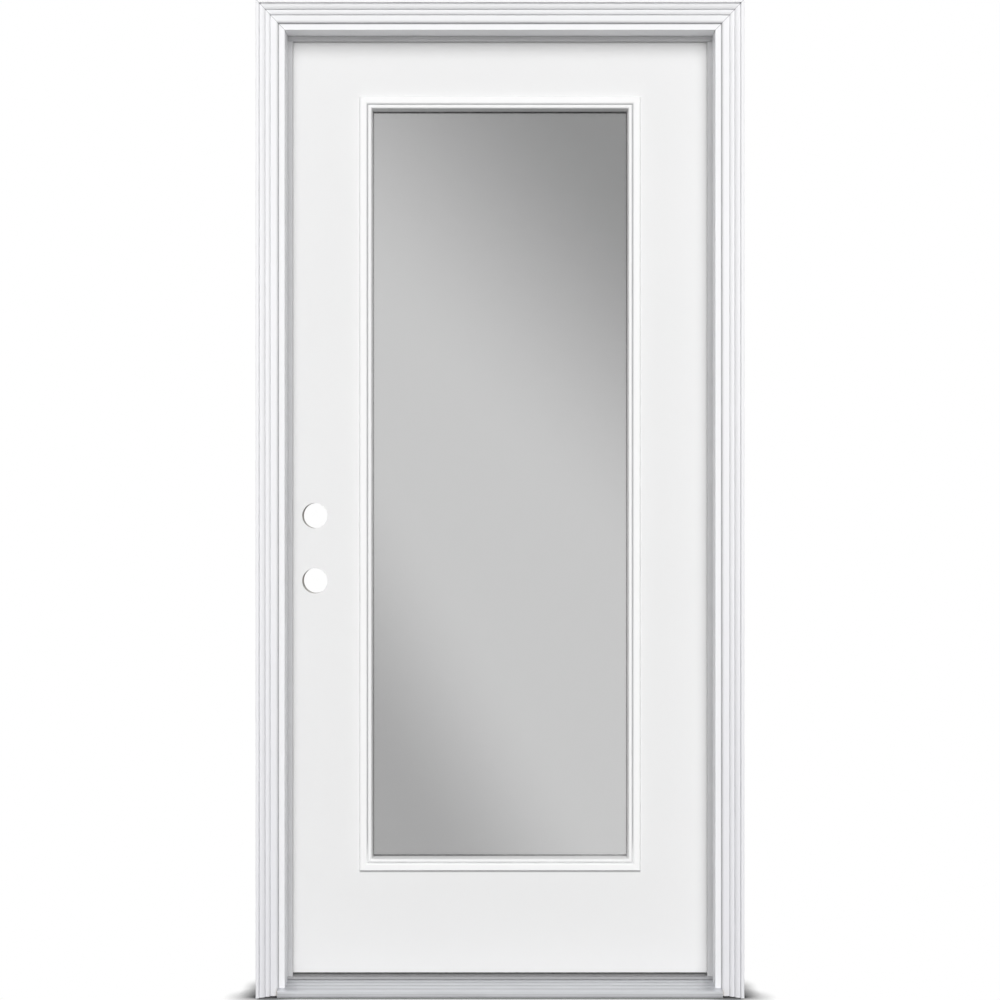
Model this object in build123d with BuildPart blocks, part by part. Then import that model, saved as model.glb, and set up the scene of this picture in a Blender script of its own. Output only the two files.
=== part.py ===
from build123d import *
from math import radians, sqrt, tan
import os

# Steel front door with one full-height light of glass, hung in its wooden frame.
# Seen from outside, X runs to the right, Y runs into the house and Z runs up.
# The origin is at mid-width on the underside of the sill, in the plane of the
# jambs' outside edges, so the brickmould stands at negative Y.

# The leaf
leaf_width = 914.4
leaf_height = 2006.6
leaf_thickness = 44.5
leaf_bottom = 32.5
edge_gap = 5.0
latch_bevel = 3.0
skin_gauge = 1.0
stile_width = 25.0
top_rail_height = 35.0
bottom_rail_height = 42.0

# The jambs and the brickmould round them
jamb_depth = 115.9
jamb_thickness = 30.0
stop_lap = 8.0
stop_depth = 60.0
edge_ease = 1.2
kerf_start = 3.0
kerf_width = 2.6
kerf_depth = 10.0
reveal = 13.5
brickmould_width = 44.5
brickmould_proud = 31.75

# The sill, its aluminium tread and its adjustable cap
nose_front = 27.0
nose_gauge = 3.0
nose_top = 13.0
tread_rear = 59.0
tread_rear_top = 20.4
tread_gauge = 1.7
tread_grooves = (34.0, 13.0, -9.0)
groove_width = 2.4
groove_depth = 0.9
cap_top = 26.0
cap_rear = 108.5
cap_seat = 15.0
cap_lip_front = 55.5
cap_lip_under = 20.6

# The weatherstrip and the sweep
strip_thickness = 6.4
strip_show = 11.5
strip_round = 3.0
kerf_leg = 2.0
sweep_plate = 3.5
sweep_fin = 1.5
fin_tip = 31.0
fin_count = 5

# The light: its frame, its cut-out and its sealed double glass
lite_width = 602.0
lite_height = 1657.5
lite_centre = 1079.3
lite_lap = 12.5
lite_leg_gap = 1.0
lite_proud = 11.0
lite_rail = 29.0
glass_gauge = 3.2
glass_edge = 16.0
spacer_edge = 19.0
spacer_width = 8.0
unit_thickness = 25.5

# The bores for a latch and a deadbolt
backset = 60.3
face_bore = 54.0
edge_bore = 25.4
latch_height = 871.0
bore_spacing = 139.7
faceplate_height = 57.2
faceplate_width = 25.4
faceplate_recess = 2.5
strike_height = 70.0
strike_width = 28.6
lock_block_height = 360.0

# The butt hinges
hinge_height = 101.6
hinge_levels = {"top": 1806.0, "middle": 1075.0, "bottom": 344.0}
leaf_gauge = 2.5
leaf_reach = 31.0
leaf_corner = 15.9
barrel_radius = 6.5
barrel_offset = 7.0
knuckle_count = 5
knuckle_gap = 0.4
pin_radius = 3.15
pin_bore_radius = 3.25
pin_head_radius = 5.4
pin_head_height = 4.0
pin_head_bevel = 1.5
pin_tip_inset = 1.0

# Places worked out from the sizes above
leaf_half = leaf_width / 2
leaf_top = leaf_bottom + leaf_height
leaf_inside = jamb_depth
leaf_outside = jamb_depth - leaf_thickness
leaf_middle = (leaf_inside + leaf_outside) / 2
rabbet_half = leaf_half + edge_gap
rabbet_top = leaf_top + edge_gap
stop_half = rabbet_half - stop_lap
stop_top = rabbet_top - stop_lap
moulding_half = stop_half + reveal
moulding_bottom_edge = stop_top + reveal
frame_top = moulding_bottom_edge + brickmould_width
core_outside = leaf_outside + skin_gauge
core_inside = leaf_inside - skin_gauge
core_thickness = core_inside - core_outside
stile_inner = leaf_half - stile_width
rail_seat = leaf_bottom + sweep_plate + sweep_fin
cutout_width = lite_width - 2 * lite_lap
cutout_height = lite_height - 2 * lite_lap
cutout_half = cutout_width / 2
cutout_top = lite_centre + cutout_height / 2
cutout_bottom = lite_centre - cutout_height / 2
bore_x = -leaf_half + backset
bore_heights = (latch_height, latch_height + bore_spacing)
lock_block_bottom = latch_height + bore_spacing / 2 - lock_block_height / 2
lock_block_top = lock_block_bottom + lock_block_height
barrel_x = leaf_half + edge_gap / 2
barrel_y = jamb_depth + barrel_offset
knuckle_height = (hinge_height - (knuckle_count - 1) * knuckle_gap) / knuckle_count
glass_seat = (leaf_thickness - unit_thickness) / 2

os.makedirs("parts", exist_ok=True)


# Jambs: one rabbeted section, mitred where the head meets the sides
def jamb_corners():
    """Corners of the section, as distance behind the stop's face and depth into the house."""
    return [
        (0, 0),
        (0, stop_depth),
        (kerf_start, stop_depth),
        (kerf_start, stop_depth - kerf_depth),
        (kerf_start + kerf_width, stop_depth - kerf_depth),
        (kerf_start + kerf_width, stop_depth),
        (stop_lap, stop_depth),
        (stop_lap, jamb_depth),
        (jamb_thickness, jamb_depth),
        (jamb_thickness, 0),
    ]


def mitre_plane(side):
    """The plane of a top corner's mitre; its normal points up and into the opening."""
    return Plane(origin=(side * stop_half, 0, stop_top), z_dir=(-side, 0, 1))


def side_jamb(side):
    """Solid of a side jamb before its pockets; side is -1 at the latch and 1 at the hinges."""
    with BuildSketch() as section:
        with BuildLine():
            Polyline(*[(side * (stop_half + across), depth) for across, depth in jamb_corners()], close=True)
        make_face()
        fillet(section.vertices().sort_by_distance((side * stop_half, 0))[0], edge_ease)
    extrude(section.sketch, amount=frame_top)
    split(bisect_by=mitre_plane(side), keep=Keep.BOTTOM)


with BuildPart() as jamb_latch:
    side_jamb(-1)
    for height in bore_heights:
        # The strike's mortise and the bolt's pocket in the rabbet's face
        with BuildSketch(Plane.YZ.offset(-rabbet_half)):
            with Locations((leaf_middle, height)):
                Rectangle(strike_width, strike_height)
        extrude(amount=-faceplate_recess, mode=Mode.SUBTRACT)
        with BuildSketch(Plane.YZ.offset(-rabbet_half)):
            with Locations((leaf_middle, height)):
                Circle(edge_bore / 2)
        extrude(amount=-jamb_thickness, mode=Mode.SUBTRACT)
jamb_latch.part.label = "jamb_latch"
export_step(jamb_latch.part, "parts/jamb_latch.step")


def leaf_outline(height):
    """Outline of a hinge leaf on the door's edge: square at the barrel, round away from it."""
    with Locations((jamb_depth - leaf_reach / 2, height)):
        Rectangle(leaf_reach, hinge_height)


with BuildPart() as jamb_hinge:
    side_jamb(1)
    for height in hinge_levels.values():
        with BuildSketch(Plane.YZ.offset(rabbet_half)) as mortise:
            leaf_outline(height)
            fillet(mortise.vertices().group_by(Axis.X)[0], leaf_corner)
        extrude(amount=leaf_gauge, mode=Mode.SUBTRACT)
jamb_hinge.part.label = "jamb_hinge"
export_step(jamb_hinge.part, "parts/jamb_hinge.step")

with BuildPart() as jamb_head:
    with BuildSketch(Plane.YZ) as section:
        with BuildLine():
            Polyline(*[(depth, stop_top + across) for across, depth in jamb_corners()], close=True)
        make_face()
        fillet(section.vertices().sort_by_distance((0, stop_top))[0], edge_ease)
    extrude(amount=moulding_half + brickmould_width, both=True)
    split(bisect_by=mitre_plane(-1), keep=Keep.TOP)
    split(bisect_by=mitre_plane(1), keep=Keep.TOP)
jamb_head.part.label = "jamb_head"
export_step(jamb_head.part, "parts/jamb_head.step")


# Brickmould: it steps out from a rounded inner lip over a bead and an ovolo to a thick outer fillet
def brickmould_lines(place):
    """Section of the moulding; place turns width from the inner edge and height into a point."""
    lip_wall = 2.2
    lip_round = 7.0
    lip_top = lip_wall + lip_round
    outer_round = 1.5
    outer_wall = brickmould_proud - outer_round
    arc_inset = 1 - sqrt(0.5)
    with BuildLine() as outline:
        Polyline(place(0, 0), place(0, lip_wall))
        ThreePointArc(
            place(0, lip_wall),
            place(lip_round * arc_inset, lip_top - lip_round * arc_inset),
            place(lip_round, lip_top),
        )
        Polyline(place(lip_round, lip_top), place(15.0, 10.6), place(15.7, 9.4), place(16.4, 14.2))
        ThreePointArc(place(16.4, 14.2), place(20.4, 16.6), place(25.0, 17.2))
        Polyline(place(25.0, 17.2), place(25.7, 16.0), place(26.4, 21.0))
        ThreePointArc(place(26.4, 21.0), place(31.4, 24.4), place(36.6, 25.6))
        Polyline(place(36.6, 25.6), place(37.3, 24.4), place(38.0, brickmould_proud))
        Line(place(38.0, brickmould_proud), place(brickmould_width - outer_round, brickmould_proud))
        ThreePointArc(
            place(brickmould_width - outer_round, brickmould_proud),
            place(brickmould_width - outer_round * arc_inset, brickmould_proud - outer_round * arc_inset),
            place(brickmould_width, outer_wall),
        )
        Polyline(place(brickmould_width, outer_wall), place(brickmould_width, 0), place(0, 0))
    make_face(outline.edges())


for name, side in (("brickmould_left", -1), ("brickmould_right", 1)):
    with BuildPart() as brickmould_side:
        with BuildSketch():
            brickmould_lines(lambda across, proud: (side * (moulding_half + across), -proud))
        extrude(amount=frame_top)
        split(bisect_by=mitre_plane(side), keep=Keep.BOTTOM)
    brickmould_side.part.label = name
    export_step(brickmould_side.part, f"parts/{name}.step")

with BuildPart() as brickmould_head:
    with BuildSketch(Plane.YZ):
        brickmould_lines(lambda across, proud: (-proud, moulding_bottom_edge + across))
    extrude(amount=moulding_half + brickmould_width, both=True)
    split(bisect_by=mitre_plane(-1), keep=Keep.TOP)
    split(bisect_by=mitre_plane(1), keep=Keep.TOP)
brickmould_head.part.label = "brickmould_head"
export_step(brickmould_head.part, "parts/brickmould_head.step")


# Sill: the nose runs between the brickmoulds, the rest is notched round the jambs' feet
def notch_round_jambs():
    """Cut the ends of a full-width sill piece back to the stops and the rabbets."""
    with BuildSketch() as feet:
        for side in (-1, 1):
            with Locations((side * (stop_half + jamb_thickness / 2), stop_depth / 2)):
                Rectangle(jamb_thickness, stop_depth)
            with Locations((side * (rabbet_half + jamb_thickness / 2), jamb_depth / 2)):
                Rectangle(jamb_thickness, jamb_depth)
    extrude(feet.sketch, amount=leaf_bottom, mode=Mode.SUBTRACT)


def tread_height(depth):
    """Height of the tread's surface, which falls outwards to shed water."""
    fall = (tread_rear_top - nose_top) / (tread_rear + nose_front)
    return nose_top + (depth + nose_front) * fall


with BuildPart() as sill_deck:
    with BuildSketch(Plane.YZ) as section:
        with BuildLine():
            Polyline(
                (-nose_front, 0),
                (nose_gauge - nose_front, 0),
                (nose_gauge - nose_front, nose_top - tread_gauge),
                (tread_rear, tread_rear_top - tread_gauge),
                (tread_rear, tread_rear_top),
                (-nose_front, nose_top),
                close=True,
            )
        make_face()
        fillet(section.vertices().sort_by_distance((-nose_front, nose_top))[0], edge_ease)
        for depth in tread_grooves:
            with Locations((depth, tread_height(depth))):
                Rectangle(groove_width, 2 * groove_depth, mode=Mode.SUBTRACT)
        with Locations((-nose_front, nose_top / 2)):
            Rectangle(2 * groove_depth, groove_width, mode=Mode.SUBTRACT)
    extrude(amount=moulding_half, both=True)
    notch_round_jambs()
sill_deck.part.label = "sill_deck"
export_step(sill_deck.part, "parts/sill_deck.step")

with BuildPart() as sill_base:
    with BuildSketch(Plane.YZ):
        with BuildLine():
            Polyline(
                (nose_gauge - nose_front, 0),
                (jamb_depth, 0),
                (jamb_depth, tread_rear_top),
                (cap_rear, tread_rear_top),
                (cap_rear, cap_seat),
                (tread_rear, cap_seat),
                (tread_rear, tread_rear_top - tread_gauge),
                (nose_gauge - nose_front, nose_top - tread_gauge),
                close=True,
            )
        make_face()
    extrude(amount=moulding_half, both=True)
    notch_round_jambs()
sill_base.part.label = "sill_base"
export_step(sill_base.part, "parts/sill_base.step")

with BuildPart() as sill_cap:
    with BuildSketch(Plane.YZ) as section:
        with BuildLine():
            Polyline(
                (tread_rear, cap_seat),
                (cap_rear, cap_seat),
                (cap_rear, cap_top),
                (cap_lip_front, cap_top),
                (cap_lip_front, cap_lip_under),
                (tread_rear, cap_lip_under),
                close=True,
            )
        make_face()
        fillet(section.vertices().group_by(Axis.Y)[-1], edge_ease)
    extrude(amount=moulding_half, both=True)
    notch_round_jambs()
sill_cap.part.label = "sill_cap"
export_step(sill_cap.part, "parts/sill_cap.step")


# Weatherstrip: a foam bulb in the rabbet's corner, held by a leg in the kerf
def strip_section(section, place):
    """Draw the strip in section; place turns distance behind the stop's face and depth into a point."""
    bulb_width = stop_lap + strip_show - 1
    bulb_middle = bulb_width / 2 - strip_show
    leg_length = kerf_depth - 1 + strip_thickness / 2
    leg_middle = (stop_depth - kerf_depth + 1) + leg_length / 2
    with Locations(place(bulb_middle, stop_depth + strip_thickness / 2)):
        Rectangle(*size_at(place, bulb_width, strip_thickness))
    nose = place(-strip_show, stop_depth + strip_thickness / 2)
    fillet(section.vertices().sort_by_distance(nose)[:2], strip_round)
    with Locations(place(kerf_start + kerf_width / 2, leg_middle)):
        Rectangle(*size_at(place, kerf_leg, leg_length))


def size_at(place, across, depth):
    """Width and height of a rectangle whose sides lie as place puts them."""
    start = Vector(place(0, 0))
    end = Vector(place(across, depth))
    return abs(end.X - start.X), abs(end.Y - start.Y)


for name, side in (("weatherstrip_left", -1), ("weatherstrip_right", 1)):
    with BuildPart() as strip_side:
        with BuildSketch(Plane.XY.offset(cap_top)) as section:
            strip_section(section, lambda across, depth: (side * (stop_half + across), depth))
        extrude(amount=stop_top - strip_show - cap_top)
    strip_side.part.label = name
    export_step(strip_side.part, f"parts/{name}.step")

with BuildPart() as weatherstrip_head:
    with BuildSketch(Plane.YZ) as section:
        strip_section(section, lambda across, depth: (depth, stop_top + across))
    extrude(amount=stop_half, both=True)
weatherstrip_head.part.label = "weatherstrip_head"
export_step(weatherstrip_head.part, "parts/weatherstrip_head.step")


# The leaf's latch edge leans back towards the street face, so that it clears the jamb
def latch_edge(depth):
    """Place across the door of the bevelled latch edge at a depth."""
    return -leaf_half + (leaf_inside - depth) * tan(radians(latch_bevel))


def cut_light_and_bores():
    """Cut the light's opening and the two face bores through a skin."""
    with BuildSketch(Plane.XZ.offset(-leaf_inside)) as openings:
        with Locations((0, lite_centre)):
            Rectangle(cutout_width, cutout_height)
        with Locations(*[(bore_x, height) for height in bore_heights]):
            Circle(face_bore / 2)
    extrude(openings.sketch, amount=leaf_thickness, mode=Mode.SUBTRACT)


for name, near, far in (
    ("skin_outside", leaf_outside, core_outside),
    ("skin_inside", core_inside, leaf_inside),
):
    with BuildPart() as skin:
        with BuildSketch(Plane.XY.offset(leaf_bottom)):
            with BuildLine():
                Polyline(
                    (latch_edge(near), near),
                    (leaf_half, near),
                    (leaf_half, far),
                    (latch_edge(far), far),
                    close=True,
                )
            make_face()
        extrude(amount=leaf_height)
        cut_light_and_bores()
        if far == leaf_inside:
            # The inside skin is notched where the hinge leaves reach its edge
            with BuildSketch(Plane.YZ.offset(leaf_half)):
                with Locations(*[(far, height) for height in hinge_levels.values()]):
                    Rectangle(2 * skin_gauge, hinge_height)
            extrude(amount=-leaf_gauge, mode=Mode.SUBTRACT)
    skin.part.label = name
    export_step(skin.part, f"parts/{name}.step")

with BuildPart() as stile_latch:
    with BuildSketch(Plane.XY.offset(rail_seat)):
        with BuildLine():
            Polyline(
                (latch_edge(core_outside), core_outside),
                (-stile_inner, core_outside),
                (-stile_inner, core_inside),
                (latch_edge(core_inside), core_inside),
                close=True,
            )
        make_face()
    extrude(amount=leaf_top - rail_seat)
    for height in bore_heights:
        with BuildSketch(Plane.YZ.offset(-leaf_half)):
            with Locations((leaf_middle, height)):
                Circle(edge_bore / 2)
        extrude(amount=2 * stile_width, mode=Mode.SUBTRACT)
        with BuildSketch(Plane.YZ.offset(-leaf_half)):
            with Locations((leaf_middle, height)):
                Rectangle(faceplate_width, faceplate_height)
        extrude(amount=latch_edge(leaf_middle) + leaf_half + faceplate_recess, mode=Mode.SUBTRACT)
stile_latch.part.label = "stile_latch"
export_step(stile_latch.part, "parts/stile_latch.step")

with BuildPart() as stile_hinge:
    with BuildSketch(Plane.XY.offset(rail_seat)):
        with Locations((leaf_half - stile_width / 2, leaf_middle)):
            Rectangle(stile_width, core_thickness)
    extrude(amount=leaf_top - rail_seat)
    for height in hinge_levels.values():
        with BuildSketch(Plane.YZ.offset(leaf_half)) as mortise:
            leaf_outline(height)
            fillet(mortise.vertices().group_by(Axis.X)[0], leaf_corner)
        extrude(amount=-leaf_gauge, mode=Mode.SUBTRACT)
stile_hinge.part.label = "stile_hinge"
export_step(stile_hinge.part, "parts/stile_hinge.step")

# Rails and foam boards: plain blocks between the stiles and round the light's opening
leaf_blocks = {
    "rail_top": (-stile_inner, stile_inner, leaf_top - top_rail_height, leaf_top),
    "rail_bottom": (-stile_inner, stile_inner, rail_seat, rail_seat + bottom_rail_height),
    "foam_top": (-stile_inner, stile_inner, cutout_top, leaf_top - top_rail_height),
    "foam_bottom": (-stile_inner, stile_inner, rail_seat + bottom_rail_height, cutout_bottom),
    "foam_hinge_side": (cutout_half, stile_inner, cutout_bottom, cutout_top),
    "foam_latch_upper": (-stile_inner, -cutout_half, lock_block_top, cutout_top),
    "foam_latch_lower": (-stile_inner, -cutout_half, cutout_bottom, lock_block_bottom),
}
for name, (left, right, bottom, top) in leaf_blocks.items():
    with BuildPart() as leaf_block:
        with BuildSketch(Plane.XY.offset(bottom)):
            with Locations(((left + right) / 2, leaf_middle)):
                Rectangle(right - left, core_thickness)
        extrude(amount=top - bottom)
    leaf_block.part.label = name
    export_step(leaf_block.part, f"parts/{name}.step")

with BuildPart() as lock_block:
    with BuildSketch(Plane.XY.offset(lock_block_bottom)):
        with Locations((-(stile_inner + cutout_half) / 2, leaf_middle)):
            Rectangle(stile_inner - cutout_half, core_thickness)
    extrude(amount=lock_block_height)
    with BuildSketch(Plane.XZ.offset(-leaf_inside)):
        with Locations(*[(bore_x, height) for height in bore_heights]):
            Circle(face_bore / 2)
    extrude(amount=leaf_thickness, mode=Mode.SUBTRACT)
    with BuildSketch(Plane.YZ.offset(-leaf_half)):
        with Locations(*[(leaf_middle, height) for height in bore_heights]):
            Circle(edge_bore / 2)
    extrude(amount=backset, mode=Mode.SUBTRACT)
lock_block.part.label = "lock_block"
export_step(lock_block.part, "parts/lock_block.step")

# Sweep: a vinyl plate let in between the skins, with fins that hang over the cap
with BuildPart() as door_sweep:
    with BuildSketch(Plane.XY.offset(leaf_bottom + sweep_fin)):
        with BuildLine():
            Polyline(
                (latch_edge(core_outside), core_outside),
                (leaf_half, core_outside),
                (leaf_half, core_inside),
                (latch_edge(core_inside), core_inside),
                close=True,
            )
        make_face()
    extrude(amount=sweep_plate)
    fin_spacing = (core_thickness - sweep_fin) / (fin_count - 1)
    with BuildSketch(Plane.XY.offset(fin_tip)):
        with Locations((0, leaf_middle)):
            with GridLocations(0, fin_spacing, 1, fin_count):
                Rectangle(2 * (leaf_half - edge_gap), sweep_fin)
    extrude(amount=leaf_bottom + sweep_fin - fin_tip)
door_sweep.part.label = "door_sweep"
export_step(door_sweep.part, "parts/door_sweep.step")


# Frame of the light: a flat outer band, a groove and a raised bead that falls to the glass
def lite_section():
    """Section of the moulded rail, from its outer edge inwards and out from the skin."""
    with BuildLine() as outline:
        Polyline((0, 0), (0, 3.0), (2.4, 8.6), (12.8, 8.9))
        ThreePointArc((12.8, 8.9), (15.8, 7.2), (17.2, 5.0))
        Line((17.2, 5.0), (18.6, 5.0))
        ThreePointArc((18.6, 5.0), (22.6, lite_proud), (26.4, 8.4))
        Polyline(
            (26.4, 8.4),
            (lite_rail, -glass_seat),
            (lite_lap + lite_leg_gap, -glass_seat),
            (lite_lap + lite_leg_gap, 0),
            (0, 0),
        )
    make_face(outline.edges())


left_rail_middle = (-lite_width / 2, leaf_outside, lite_centre)
with BuildPart() as lite_frame_outside:
    with BuildLine(Plane.XZ.offset(-leaf_outside)):
        Polyline(
            (-lite_width / 2, lite_centre),
            (-lite_width / 2, lite_centre - lite_height / 2),
            (lite_width / 2, lite_centre - lite_height / 2),
            (lite_width / 2, lite_centre + lite_height / 2),
            (-lite_width / 2, lite_centre + lite_height / 2),
            close=True,
        )
    with BuildSketch(Plane(origin=left_rail_middle, x_dir=(1, 0, 0), z_dir=(0, 0, -1))):
        lite_section()
    sweep(transition=Transition.RIGHT)
lite_frame_outside.part.label = "lite_frame_outside"
export_step(lite_frame_outside.part, "parts/lite_frame_outside.step")

with BuildPart() as lite_frame_inside:
    mirror(lite_frame_outside.part, about=Plane.XZ.offset(-leaf_middle))
lite_frame_inside.part.label = "lite_frame_inside"
export_step(lite_frame_inside.part, "parts/lite_frame_inside.step")

# Sealed unit: two panes with a hollow bar round the edge between them
for name, near in (
    ("glass_outside", leaf_outside + glass_seat),
    ("glass_inside", leaf_inside - glass_seat - glass_gauge),
):
    with BuildPart() as pane:
        with BuildSketch(Plane.XZ.offset(-near)):
            with Locations((0, lite_centre)):
                Rectangle(lite_width - 2 * glass_edge, lite_height - 2 * glass_edge)
        extrude(amount=-glass_gauge)
    pane.part.label = name
    export_step(pane.part, f"parts/{name}.step")

with BuildPart() as glass_spacer:
    with BuildSketch(Plane.XZ.offset(-(leaf_outside + glass_seat + glass_gauge))):
        with Locations((0, lite_centre)):
            Rectangle(lite_width - 2 * spacer_edge, lite_height - 2 * spacer_edge)
            spacer_inner = spacer_edge + spacer_width
            Rectangle(lite_width - 2 * spacer_inner, lite_height - 2 * spacer_inner, mode=Mode.SUBTRACT)
    extrude(amount=-(unit_thickness - 2 * glass_gauge))
glass_spacer.part.label = "glass_spacer"
export_step(glass_spacer.part, "parts/glass_spacer.step")


# Hinges: two leaves let into jamb and stile, whose knuckles take turns round one headed pin
def hinge_leaf(face, outward, first_knuckle, height):
    """Solid of a leaf; face is the place of its bare face and outward points into its mortise."""
    plate_middle = face + outward * leaf_gauge / 2
    with BuildSketch(Plane.YZ.offset(face)) as plate:
        leaf_outline(height)
        fillet(plate.vertices().group_by(Axis.X)[0], leaf_corner)
    extrude(plate.sketch, amount=outward * leaf_gauge)
    for knuckle in range(first_knuckle, knuckle_count, 2):
        knuckle_bottom = height - hinge_height / 2 + knuckle * (knuckle_height + knuckle_gap)
        with BuildSketch(Plane.XY.offset(knuckle_bottom)) as turn:
            with Locations((barrel_x, barrel_y)):
                Circle(barrel_radius)
            with Locations((plate_middle, jamb_depth + barrel_offset / 2)):
                Rectangle(leaf_gauge, barrel_offset)
            with Locations((barrel_x, barrel_y)):
                Circle(pin_bore_radius, mode=Mode.SUBTRACT)
        extrude(turn.sketch, amount=knuckle_height)


for level, height in hinge_levels.items():
    with BuildPart() as frame_leaf:
        hinge_leaf(rabbet_half, 1, 0, height)
    frame_leaf.part.label = f"frame_leaf_{level}"
    export_step(frame_leaf.part, f"parts/frame_leaf_{level}.step")

    with BuildPart() as door_leaf:
        hinge_leaf(leaf_half, -1, 1, height)
    door_leaf.part.label = f"door_leaf_{level}"
    export_step(door_leaf.part, f"parts/door_leaf_{level}.step")

    with BuildPart() as hinge_pin:
        pin_foot = (barrel_x, barrel_y, height - hinge_height / 2)
        with BuildSketch(Plane(origin=pin_foot, x_dir=(1, 0, 0), z_dir=(0, -1, 0))):
            with BuildLine():
                Polyline(
                    (0, hinge_height + pin_head_height),
                    (0, pin_tip_inset),
                    (pin_radius, pin_tip_inset),
                    (pin_radius, hinge_height),
                    (pin_head_radius, hinge_height),
                    (pin_head_radius, hinge_height + pin_head_height - pin_head_bevel),
                    (pin_head_radius - pin_head_bevel, hinge_height + pin_head_height),
                    close=True,
                )
            make_face()
        revolve(axis=Axis(pin_foot, (0, 0, 1)))
    hinge_pin.part.label = f"hinge_pin_{level}"
    export_step(hinge_pin.part, f"parts/hinge_pin_{level}.step")
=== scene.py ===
"""Finishes, small hardware and studio for a steel front door with a full-height light."""

import math

import bmesh
import bpy
from bpy.props import FloatProperty, FloatVectorProperty, IntProperty, PointerProperty
from bpy.types import Operator, Panel, PropertyGroup
from mathutils import Matrix, Vector


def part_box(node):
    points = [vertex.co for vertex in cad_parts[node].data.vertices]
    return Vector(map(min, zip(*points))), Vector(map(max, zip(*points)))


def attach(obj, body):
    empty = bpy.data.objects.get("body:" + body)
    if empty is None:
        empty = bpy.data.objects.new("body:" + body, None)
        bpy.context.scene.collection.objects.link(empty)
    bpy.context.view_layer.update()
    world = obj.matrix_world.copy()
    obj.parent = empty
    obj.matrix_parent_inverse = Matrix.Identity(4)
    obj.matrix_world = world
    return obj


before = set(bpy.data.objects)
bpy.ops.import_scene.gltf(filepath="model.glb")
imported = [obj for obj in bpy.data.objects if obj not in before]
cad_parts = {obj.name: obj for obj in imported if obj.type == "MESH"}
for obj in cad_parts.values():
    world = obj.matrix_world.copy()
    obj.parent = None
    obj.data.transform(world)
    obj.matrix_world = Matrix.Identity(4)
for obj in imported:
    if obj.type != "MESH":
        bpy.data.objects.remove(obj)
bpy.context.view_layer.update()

bl_info = {
    "name": "Steel Front Door",
    "version": (1, 0, 0),
    "blender": (4, 5, 0),
    "location": "3D View > Sidebar > Front Door",
    "description": "Paint, timber, glass, small hardware and studio for a steel front door",
    "category": "Object",
}

LEVELS = ("top", "middle", "bottom")

# Axes along which grain and brush lines can run
ACROSS, UPRIGHT = 0, 2

# Distance from the light frame's outer edge to the middle of its groove
LIGHT_GROOVE = 0.0174

# The sill: one groove of its tread, measured into the house, the step to the next one,
# the painted shadow line on its nose, above the floor, and where the leaf starts to cover its cap
TREAD_GROOVE, TREAD_PITCH = 0.013, 0.0215
NOSE_LINE = 0.0068
CAP_UNCOVERED, CAP_COVERED = 0.066, 0.074

# Greys on pale surfaces: dark joints, painted shade, painted shadows and contact shadow
JOINT_AND_SHADE_GREY = (0.30, 0.30, 0.31, 1)
LOW_SHADE_GREY = (0.73, 0.73, 0.765, 1)
FRAME_SHADOW_GREY = (0.20, 0.20, 0.205, 1)
GROOVE_SHADE_GREY = (0.50, 0.50, 0.51, 1)
CONTACT_GREY = (0.03, 0.03, 0.032, 1)

# Drawn lines, dark joints at the mitres and painted shade or shadow in the others: half the width
# of the dark core, and how far from its middle a line has faded
MITRE_LINE = 0.0002, 0.0011
CREASE_SHADE_LINE = 0.0003, 0.0016
GROOVE_SHADE_LINE = 0.0006, 0.0024
TREAD_LINE = 0.0009, 0.0026
NOSE_EDGE = 0.0003, 0.0012

# Painted reflection that darkens the glass towards either corner: lean of its edge, then where it
# starts and ends
UPPER_LEAN, UPPER_START, UPPER_END = 0.958, 1.11, 2.0
LOWER_LEAN, LOWER_START, LOWER_END = 1.71, 0.02, 0.69

# Finishes that nobody would change: pale and dark wood, and plain colours
SILL_WOOD = (0.42, 0.36, 0.22), (0.26, 0.20, 0.10)
BLOCK_WOOD = (0.52, 0.505, 0.48), (0.40, 0.385, 0.365)
# Painted light: the cap's top, paler so that it shows in the leaf's shade
CAP_TOP_PAINTED_LIGHT = (0.80, 0.80, 0.81)
SWEEP_BLACK = (0.14, 0.14, 0.142)
FOAM_CREAM = (0.80, 0.74, 0.52)
GLASS_BODY = (0.02, 0.021, 0.022, 1)
SPACER_ALUMINIUM = (0.72, 0.72, 0.73)
FLOOR_MATTE = (0.38, 0.38, 0.38, 1)
SCREW_ZINC = (0.50, 0.50, 0.51)

# Depth of the finest texture of paint, plastic and brushed metal
FINE_RELIEF = 0.00003

# The spacer between the panes: its middle, measured into the house, and its holes' pitch
SPACER_MIDDLE, SPACER_PITCH = 0.09365, 0.004

# Plugs of the light frame: from its edge, over the skin, their own height, and in from its ends
PLUG_INSET, PLUG_DEPTH, PLUG_HEIGHT, PLUG_CORNER = 0.0073, 0.0086, 0.0011, 0.05

# Cap screws stand this far in front of the cap's rear edge
CAP_SCREW_INSET = 0.012

# The studio: half the floor's side, how far a contact shadow reaches on it, and how far off
# the lamps' own markers stand
FLOOR_HALF = 60
CONTACT_REACH = 0.07
LAMP_REACH = 6

# Inner corner of the frame, where the mitres of jambs and brickmould start
stop_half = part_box("jamb_hinge")[0].x
stop_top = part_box("jamb_head")[0].z

# Inner edge of the brickmould, where it sits on the jambs
moulding_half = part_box("brickmould_right")[0].x
moulding_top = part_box("brickmould_head")[0].z


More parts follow.
